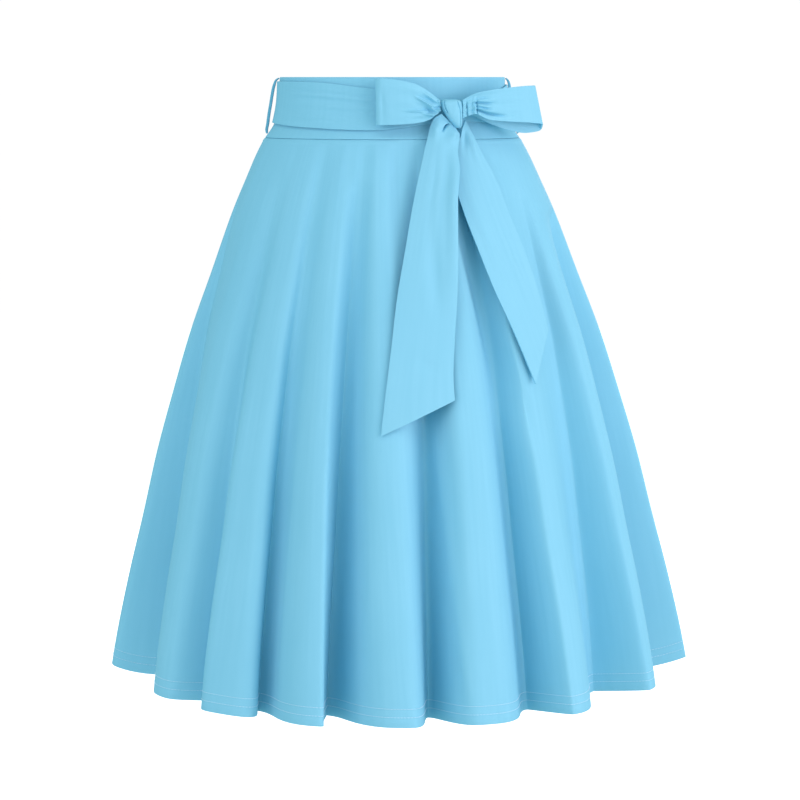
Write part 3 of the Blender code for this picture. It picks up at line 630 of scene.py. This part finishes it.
def cloth_material(name, colour, dark):
    """Smooth, close plain weave: fine crossing threads, faint streaks, soft colour change."""
    material = bpy.data.materials.new(name)
    material.use_nodes = True
    tree = material.node_tree
    shader = tree.nodes["Principled BSDF"]
    place = linked(tree, "ShaderNodeTexCoord")
    uv = linked(tree, "ShaderNodeUVMap", {"uv_map": "cloth"})
    patches = linked(
        tree, "ShaderNodeTexNoise", Vector=place.outputs["Object"], Scale=PATCHES, Detail=3.0
    )
    stretch = linked(tree, "ShaderNodeMapping", Vector=uv.outputs["UV"], Scale=STREAKS)
    streaks = linked(
        tree, "ShaderNodeTexNoise", Vector=stretch.outputs["Vector"], Scale=1.0, Detail=2.0
    )
    both = linked(tree, "ShaderNodeMath", {"operation": "MULTIPLY"})
    tree.links.new(patches.outputs["Fac"], both.inputs[0])
    tree.links.new(streaks.outputs["Fac"], both.inputs[1])
    ramp = linked(tree, "ShaderNodeValToRGB", Fac=both.outputs["Value"])
    ramp.color_ramp.elements[0].position = 0.12
    ramp.color_ramp.elements[1].position = 0.40
    ramp.color_ramp.elements[0].color = (*dark, 1.0)
    ramp.color_ramp.elements[1].color = (*colour, 1.0)
    tree.links.new(ramp.outputs["Color"], shader.inputs["Base Color"])
    threads = []
    for direction in ("X", "Y"):
        wave = linked(
            tree,
            "ShaderNodeTexWave",
            {"bands_direction": direction},
            Vector=uv.outputs["UV"],
            Scale=WAVE_PERIOD / WEAVE,
            Distortion=0.6,
            Detail=1.0,
        )
        threads.append(wave.outputs["Fac"])
    weave_height = linked(tree, "ShaderNodeMath", {"operation": "MULTIPLY"})
    tree.links.new(threads[0], weave_height.inputs[0])
    tree.links.new(threads[1], weave_height.inputs[1])
    weave_bump = linked(
        tree,
        "ShaderNodeBump",
        Strength=0.35,
        Distance=WEAVE_DEPTH,
        Height=weave_height.outputs["Value"],
    )
    streak_bump = linked(
        tree,
        "ShaderNodeBump",
        Strength=0.12,
        Distance=STREAK_DEPTH,
        Height=streaks.outputs["Fac"],
        Normal=weave_bump.outputs["Normal"],
    )
    tree.links.new(streak_bump.outputs["Normal"], shader.inputs["Normal"])
    rough = linked(tree, "ShaderNodeMapRange", Value=patches.outputs["Fac"])
    rough.inputs["To Min"].default_value, rough.inputs["To Max"].default_value = ROUGHNESS
    tree.links.new(rough.outputs["Result"], shader.inputs["Roughness"])
    shader.inputs["Sheen Weight"].default_value = 0.08
    shader.inputs["Sheen Roughness"].default_value = 0.45
    shader.inputs["Sheen Tint"].default_value = (0.45, 0.90, 1.0, 1.0)
    shader.inputs["Specular IOR Level"].default_value = 0.10
    return material


def thread_material():
    """Pale blue twisted sewing thread."""
    material = bpy.data.materials.new("pale_thread")
    material.use_nodes = True
    tree = material.node_tree
    shader = tree.nodes["Principled BSDF"]
    place = linked(tree, "ShaderNodeTexCoord")
    fibres = linked(
        tree, "ShaderNodeTexNoise", Vector=place.outputs["Object"], Scale=THREAD_FIBRES, Detail=2.0
    )
    ramp = linked(tree, "ShaderNodeValToRGB", Fac=fibres.outputs["Fac"])
    ramp.color_ramp.elements[0].color = (0.42, 0.72, 0.88, 1.0)
    ramp.color_ramp.elements[1].color = (0.62, 0.86, 0.97, 1.0)
    tree.links.new(ramp.outputs["Color"], shader.inputs["Base Color"])
    shader.inputs["Roughness"].default_value = 0.55
    shader.inputs["Sheen Weight"].default_value = 0.2
    return material


CLOTH = cloth_material("skirt_weave", (0.230, 0.60, 0.755), (0.214, 0.58, 0.735))
# Painted light: the bow's loops, knot and hanging ends get a slightly lighter copy of the skirt's
# cloth colour, which stands in for the brighter light they catch.
SASH_CLOTH_PAINTED_LIGHTER = cloth_material("sash_weave_painted_lighter", (0.240, 0.61, 0.762), (0.224, 0.59, 0.742))
# Painted shade: the belt loops get a darker copy of the skirt's cloth colour, which stands in for
# the shade they lie in.
STRAP_CLOTH_PAINTED_SHADE = cloth_material("strap_weave_painted_shade", (0.150, 0.47, 0.61), (0.130, 0.44, 0.58))
THREAD = thread_material()


# ---------------------------------------------------------------- the skirt
SKIRT_COLUMNS_A_FLANK = 18
SKIRT_ROWS = 96
ROW_CLEARANCE = 0.004  # share of the fall that even rows keep from the hem's turned edge
TURN_ROWS = (-0.0015, 0.0005)  # shares of the fall past that edge, with a row of points each


def skirt_grid(phases, falls):
    """The skirt's outside over phases and shares of the fall, with all its relief."""
    made = [skirt_column(phase, falls) for phase in phases]
    grid = np.stack([points for points, _ in made], axis=1)
    angles = np.stack([angle for _, angle in made], axis=1)
    relief = skirt_relief(angles, -grid[:, :, 2])
    normals = level_normals(grid, False)
    return grid + normals * relief[:, :, None]


def seam_falls():
    """Shares of the fall for the rows: even, with more at the seam and the hem's turned edge."""
    turn = HEM_TURN / (HEM_DROP_SIDE - BAND_HEIGHT)
    even = np.linspace(0, 1, SKIRT_ROWS)
    keep = even[np.abs(even - (1 - turn)) > ROW_CLEARANCE]
    seam = np.array(SEAM_ROWS) / (HEM_DROP_SIDE - BAND_HEIGHT)
    return np.sort(np.concatenate([keep, seam, 1 - turn + np.array(TURN_ROWS)])), turn


def part_at_sides(points):
    """Draws a panel's two side edges back by half a gap, along the cloth."""
    for edge, beside in ((0, 1), (-1, -2)):
        along = points[:, beside] - points[:, edge]
        length = np.linalg.norm(along, axis=1, keepdims=True)
        points[:, edge] += along / length * GAP / 2
    return points


def skirt_panel(name, first, last):
    """One flared panel of cloth, with its hem turned up inside."""
    columns = 2 * (last - first) * SKIRT_COLUMNS_A_FLANK + 1
    phases = np.linspace(first, last, columns)
    step = phases[1] - phases[0]
    falls, turn = seam_falls()
    wide = skirt_grid(np.concatenate([[first - step], phases, [last + step]]), falls)
    thick = np.where(falls > 1 - turn, HEM_WALL, SKIRT_WALL)
    inner = wide - level_normals(wide, False) * thick[:, None, None]
    outer = part_at_sides(wide[:, 1:-1])
    inner = part_at_sides(inner[:, 1:-1])
    return wall(name + "_cloth", outer, inner, SKIRT_WALL, CLOTH), outer


def stitches(name, line, outward, offset):
    """A row of stitches along a line of points: short raised threads that dip into the cloth."""
    lengths = np.concatenate([[0], np.cumsum(np.linalg.norm(np.diff(line, axis=0), axis=1))])
    count = int((lengths[-1] - offset) // STITCH_PITCH)
    sides, stations = STITCH_SIDES, STITCH_STATIONS
    arch = np.sin(pi * np.linspace(*STITCH_ARCH, stations))
    halves = THREAD_HALF * (THREAD_NECK + (1 - THREAD_NECK) * arch)
    lifts = THREAD_HALF * (STITCH_LIFT * arch - STITCH_SINK)
    verts, faces = [], []
    for number in range(count):
        start = offset + (number + 0.5) * STITCH_PITCH - STITCH_LENGTH / 2
        places = start + STITCH_LENGTH * np.linspace(0, 1, stations)
        middle = np.stack([np.interp(places, lengths, line[:, i]) for i in range(3)], axis=1)
        out = np.stack([np.interp(places, lengths, outward[:, i]) for i in range(3)], axis=1)
        out /= np.linalg.norm(out, axis=1, keepdims=True)
        along = np.gradient(middle, axis=0)
        along /= np.linalg.norm(along, axis=1, keepdims=True)
        beside = np.cross(along, out)
        base = len(verts)
        for station in range(stations):
            centre = middle[station] + out[station] * lifts[station]
            for side in range(sides):
                turn = 2 * pi * side / sides
                away = cos(turn) * out[station] + sin(turn) * beside[station]
                verts.append(centre + halves[station] * away)
        for station in range(stations - 1):
            for side in range(sides):
                a = base + station * sides + side
                b = base + station * sides + (side + 1) % sides
                faces.append((a, b, b + sides, a + sides))
        faces.append(tuple(base + side for side in range(sides)))
        last = base + (stations - 1) * sides
        faces.append(tuple(last + side for side in range(sides)))
    data = bpy.data.meshes.new(name)
    data.from_pydata([tuple(v) for v in verts], [], faces)
    return finished(name, data, THREAD)


def hem_stitches(name, outer):
    """The two rows of stitching that hold a panel's hem."""
    normals = level_normals(outer, False)
    rows = []
    for number, height in enumerate(HEM_ROWS):
        line, out = [], []
        for column in range(outer.shape[1]):
            down = np.concatenate(
                [[0], np.cumsum(np.linalg.norm(np.diff(outer[:, column], axis=0), axis=1))]
            )
            place = down[-1] - height
            line.append([np.interp(place, down, outer[:, column, i]) for i in range(3)])
            out.append([np.interp(place, down, normals[:, column, i]) for i in range(3)])
        label = f"{name}_hem_stitch_{number + 1}"
        rows.append(stitches(label, np.array(line), np.array(out), number * STITCH_STAGGER))
    return rows


def skirt():
    """Both panels, each with its hem stitching."""
    for name, first, last, flat, area in (
        ("skirt_front", SIDE_PHASES[0], SIDE_PHASES[1], (1.39, 0.72), 0.62),
        ("skirt_back", SIDE_PHASES[1], SIDE_PHASES[2], (1.23, 0.70), 0.547),
    ):
        piece, outer = skirt_panel(name, first, last)
        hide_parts(name)
        rows = hem_stitches(name, outer)


# ---------------------------------------------------------------- waistband
BAND_TOP = 0.012  # rows are closer above this drop
BAND_TOP_ROWS = 5
BAND_ROWS = 22
BAND_STEP = 1.5  # degrees from one column to the next


def waistband(name, first_angle):
    """Half of the waistband, from side seam to side seam."""
    top = np.linspace(0, BAND_TOP, BAND_TOP_ROWS)
    drops = np.concatenate([top[:-1], np.linspace(BAND_TOP, BAND_HEIGHT, BAND_ROWS)])
    columns = round(180 / BAND_STEP) + 3
    angles = np.linspace(first_angle - BAND_STEP, first_angle + 180 + BAND_STEP, columns)
    grid = on_outline(angles[None, :], drops[:, None])
    inner = grid - level_normals(grid, False) * BAND_WALL
    outer, inner = part_at_sides(grid[:, 1:-1]), part_at_sides(inner[:, 1:-1])
    piece = wall(name + "_cloth", outer, inner, BAND_WALL, CLOTH)
    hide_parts(name)


# ---------------------------------------------------------------- sash and bow
SASH_COLUMNS = 288
SASH_STRANDS = 33
LOOP_COLUMNS = 261
LOOP_ROWS = 65
KNOT_STATIONS = 81
KNOT_COLUMNS = 144
TAIL_ROWS = 201
TAIL_COLUMNS = 61


def sash_waist():
    """The stretch of the sash round the waist."""
    angles = np.linspace(-180, 180, SASH_COLUMNS, endpoint=False)
    edges = smooth([row[1:] for row in SASH_ROWS], angles, [row.angle for row in SASH_ROWS])
    shares = np.linspace(0, 1, SASH_STRANDS)
    drops = edges[:, 0][None, :] + (edges[:, 1] - edges[:, 0])[None, :] * shares[:, None]
    grid = on_outline(angles[None, :], drops)
    normals = level_normals(grid, True)
    relief = SASH_CREASE_STAND + creases(grid, SASH_CREASES)
    inner = grid + normals * (SASH_STAND + relief)[:, :, None]
    outer = grid + normals * (SASH_STAND + SASH_WALL + relief)[:, :, None]
    piece = wall("sash_waist_cloth", outer, inner, SASH_WALL, CLOTH, closed=True)
    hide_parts("sash_waist")


def bow_loop(name, rows, crease_table):
    """One loop of the bow."""
    path = smooth(rows, np.linspace(0, len(rows) - 1, LOOP_COLUMNS))
    x, y, slant, top, bottom, gather = path.T
    shares = np.linspace(0, 1, LOOP_ROWS)[:, None]
    drops = top + (bottom - top) * shares
    grid = np.stack([x + slant * shares, y + 0 * shares, -drops], axis=-1)
    normals = level_normals(grid, False)
    gathers = np.cos(2 * pi * LOOP_GATHERS * shares) * gather
    relief = gathers + creases(grid, crease_table)
    middle = grid + normals * relief[:, :, None]
    outer = middle + normals * SASH_WALL / 2
    inner = middle - normals * SASH_WALL / 2
    piece = wall(name + "_cloth", outer, inner, SASH_WALL, SASH_CLOTH_PAINTED_LIGHTER)
    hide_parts(name)
    return piece


def bow_knot():
    """The knot, wound tightly round the bow's middle."""
    path = smooth(KNOT_ROWS, np.linspace(0, len(KNOT_ROWS) - 1, KNOT_STATIONS))
    drop, x, y, wide, deep = (path[:, i : i + 1] for i in range(5))
    turns = np.linspace(0, 2 * pi, KNOT_COLUMNS, endpoint=False)
    side = np.sign(np.sin(turns)) * np.abs(np.sin(turns)) ** KNOT_BOXINESS
    front = np.sign(np.cos(turns)) * np.abs(np.cos(turns)) ** KNOT_BOXINESS
    grid = np.stack([x + wide * side, y - deep * front, -drop + 0 * side], axis=-1)
    grid += level_normals(grid, True) * creases(grid, KNOT_CREASES)[:, :, None]
    verts = grid.reshape(-1, 3)
    places = np.arange(len(verts)).reshape(KNOT_STATIONS, KNOT_COLUMNS)
    beside = np.roll(places, -1, axis=1)
    quads = np.stack([places[:-1], places[1:], beside[1:], beside[:-1]], axis=-1)
    faces = quads.reshape(-1, 4).tolist() + [places[0].tolist(), places[-1].tolist()]
    data = bpy.data.meshes.new("bow_knot_cloth")
    data.from_pydata(verts.tolist(), [], faces)
    layer = data.uv_layers.new(name="cloth")
    flat = [(verts[v][0], verts[v][2]) for face in faces for v in face]
    layer.uv.foreach_set("vector", np.array(flat, np.float32).ravel())
    piece = finished("bow_knot_cloth", data, SASH_CLOTH_PAINTED_LIGHTER)
    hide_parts("bow_knot")
    return piece


def tail(name, rows, crease_table):
    """One hanging end of the sash."""
    path = smooth(rows, np.linspace(0, len(rows) - 1, TAIL_ROWS))
    shares = np.linspace(0, 1, TAIL_COLUMNS)[None, :]
    left_drop, left_x, left_off, right_drop, right_x, right_off, bulge = (
        path[:, i : i + 1] for i in range(7)
    )
    drops = left_drop + (right_drop - left_drop) * shares
    acrosses = left_x + (right_x - left_x) * shares
    offs = left_off + (right_off - left_off) * shares + bulge * np.sin(pi * shares)
    angles = np.degrees(np.arcsin((acrosses - shift(drops)) / half_width(drops)))
    base = on_outline(angles, drops)
    inner = base + offs[:, :, None] * FORWARD
    normals = level_normals(inner, False)
    relief = creases(inner.transpose(1, 0, 2), crease_table).T
    inner = inner + normals * relief[:, :, None]
    outer = inner + normals * TAIL_WALL
    piece = wall(name + "_cloth", outer, inner, TAIL_WALL, SASH_CLOTH_PAINTED_LIGHTER)
    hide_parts(name)
    return piece


def sash():
    """The whole sash: waist stretch, two loops, knot and two hanging ends."""
    sash_waist()
    for name, rows, table, length in (
        ("bow_loop_left", LEFT_LOOP, LEFT_LOOP_CREASES, 0.145),
        ("bow_loop_right", RIGHT_LOOP, RIGHT_LOOP_CREASES, 0.190),
    ):
        bow_loop(name, rows, table)
    knot = bow_knot()
    left = tail("tail_left", LEFT_TAIL, LEFT_TAIL_CREASES)
    right = tail("tail_right", RIGHT_TAIL, RIGHT_TAIL_CREASES)


# ---------------------------------------------------------------- belt loops
STRAP_STATIONS = 61
STRAP_STRANDS = 9


def belt_loop(name, side):
    """A strap that stands off the waistband at one side. side is -1 or 1."""
    rows = smooth(STRAP_ROWS, np.linspace(0, len(STRAP_ROWS) - 1, STRAP_STATIONS))
    drops = rows[:, 0]
    offs = rows[:, 1] if side < 0 else rows[:, 2]
    path = np.stack([half_width(drops) + offs, -drops], axis=1)
    along = np.gradient(path, axis=0)
    along /= np.linalg.norm(along, axis=1, keepdims=True)
    outward = np.stack([-along[:, 1], along[:, 0]], axis=1)
    places = np.linspace(-STRAP_WIDTH / 2, STRAP_WIDTH / 2, STRAP_STRANDS)
    pillow = STRAP_PILLOW * (1 - (2 * places / STRAP_WIDTH) ** 2)

    def grid(lift):
        points = path[:, None, :] + outward[:, None, :] * (lift + 0 * places)[:, :, None]
        across = np.broadcast_to(places, points.shape[:2])
        return np.stack([side * points[:, :, 0], across, points[:, :, 1]], axis=-1)

    outer = grid(rows[:, 3:] - STRAP_PILLOW + pillow)
    inner = grid(0 * drops[:, None])
    piece = wall(name + "_cloth", outer, inner, STRAP_EDGE, STRAP_CLOTH_PAINTED_SHADE)
    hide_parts(name)


# ---------------------------------------------------------------- stage, lights and camera
CAMERA_BACK = 2.75
CAMERA_RIGHT = 0.0084
CAMERA_DOWN = radians(7.318)
FOCAL_PIXELS = 2515
PICTURE_PIXELS = 800
SENSOR_MM = 36.0
VIEW_LENGTH = 60.0
FLOOR_DROP = 1.05
FLOOR_PAINT = (0.9, 0.9, 0.9)
FLOOR_GLOW = 0.62
STAGE_ROUGHNESS = 0.9
STUDIO_RADIUS = 8.0
AMBIENT = 0.68
AMBIENT_COLOUR = (0.735, 0.985, 1.03)
LIGHT_COLOUR = (1.20, 0.835, 0.94)
LIGHT_DISTANCE = 3.0
LIGHT_TARGET = -0.33
# Soft oblong lights that look at the skirt. Azimuth 0 is in front and positive to the right.
Light = namedtuple("Light", "name azimuth elevation wide high power")
LIGHTS = [
    Light("left", -40, 8, 2.4, 1.8, 24),
    Light("right", 58, 8, 3.4, 1.8, 60),
    Light("top", 5, 52, 2.0, 1.2, 10),
    Light("back", 172, 12, 2.4, 1.8, 26),
]


def camera():
    """Level with the waistband's top edge, tipped down a little, with a long lens."""
    data = bpy.data.cameras.new("camera")
    data.sensor_width = SENSOR_MM
    data.lens = FOCAL_PIXELS / PICTURE_PIXELS * SENSOR_MM
    data.clip_end = VIEW_LENGTH
    made = bpy.data.objects.new("camera", data)
    made.location = (CAMERA_RIGHT, -CAMERA_BACK, 0.0)
    made.rotation_euler = (pi / 2 - CAMERA_DOWN, 0.0, 0.0)
    bpy.context.scene.collection.objects.link(made)
    bpy.context.scene.camera = made


def area_light(light):
    """One of the lights, which the camera doesn't see."""
    data = bpy.data.lights.new(light.name, "AREA")
    data.shape = "RECTANGLE"
    data.size, data.size_y = light.wide, light.high
    data.energy = light.power
    data.color = LIGHT_COLOUR
    made = bpy.data.objects.new(light.name, data)
    turn, rise = radians(light.azimuth), radians(light.elevation)
    away = np.array([sin(turn) * cos(rise), -cos(turn) * cos(rise), sin(rise)])
    made.location = away * LIGHT_DISTANCE + (0.0, 0.0, LIGHT_TARGET)
    made.rotation_euler = Vector(-away).to_track_quat("-Z", "Y").to_euler()
    made.visible_camera = False
    bpy.context.scene.collection.objects.link(made)


def stage_piece(name, colour, glow):
    """Gives the last made mesh a plain paint that glows, and hides it from diffuse, glossy and
    shadow rays.
    """
    made = bpy.context.object
    made.name = name
    paint = bpy.data.materials.new(name)
    paint.use_nodes = True
    shader = paint.node_tree.nodes["Principled BSDF"]
    shader.inputs["Base Color"].default_value = (*colour, 1)
    shader.inputs["Roughness"].default_value = STAGE_ROUGHNESS
    shader.inputs["Emission Color"].default_value = (1, 1, 1, 1)
    shader.inputs["Emission Strength"].default_value = glow
    made.data.materials.append(paint)
    made.visible_diffuse = False
    made.visible_glossy = False
    made.visible_shadow = False


def stage():
    """A pale floor well under the hem inside a white surround, both seen by the camera alone."""
    bpy.ops.mesh.primitive_circle_add(
        vertices=96, radius=STUDIO_RADIUS, fill_type="NGON", location=(0, 0, -FLOOR_DROP)
    )
    stage_piece("floor", FLOOR_PAINT, FLOOR_GLOW)
    bpy.ops.mesh.primitive_uv_sphere_add(segments=64, ring_count=32, radius=STUDIO_RADIUS)
    stage_piece("surround", (0, 0, 0), 1.0)
    world = bpy.data.worlds.new("studio")
    bpy.context.scene.world = world
    world.use_nodes = True
    background = world.node_tree.nodes["Background"]
    background.inputs["Color"].default_value = (*AMBIENT_COLOUR, 1)
    background.inputs["Strength"].default_value = AMBIENT


skirt()
waistband("waistband_front", -90)
waistband("waistband_back", 90)
belt_loop("belt_loop_left", -1)
belt_loop("belt_loop_right", 1)
sash()
stage()
for studio_light in LIGHTS:
    area_light(studio_light)
camera()
scene = bpy.context.scene
scene.view_settings.view_transform = "Standard"
scene.view_settings.look = "None"
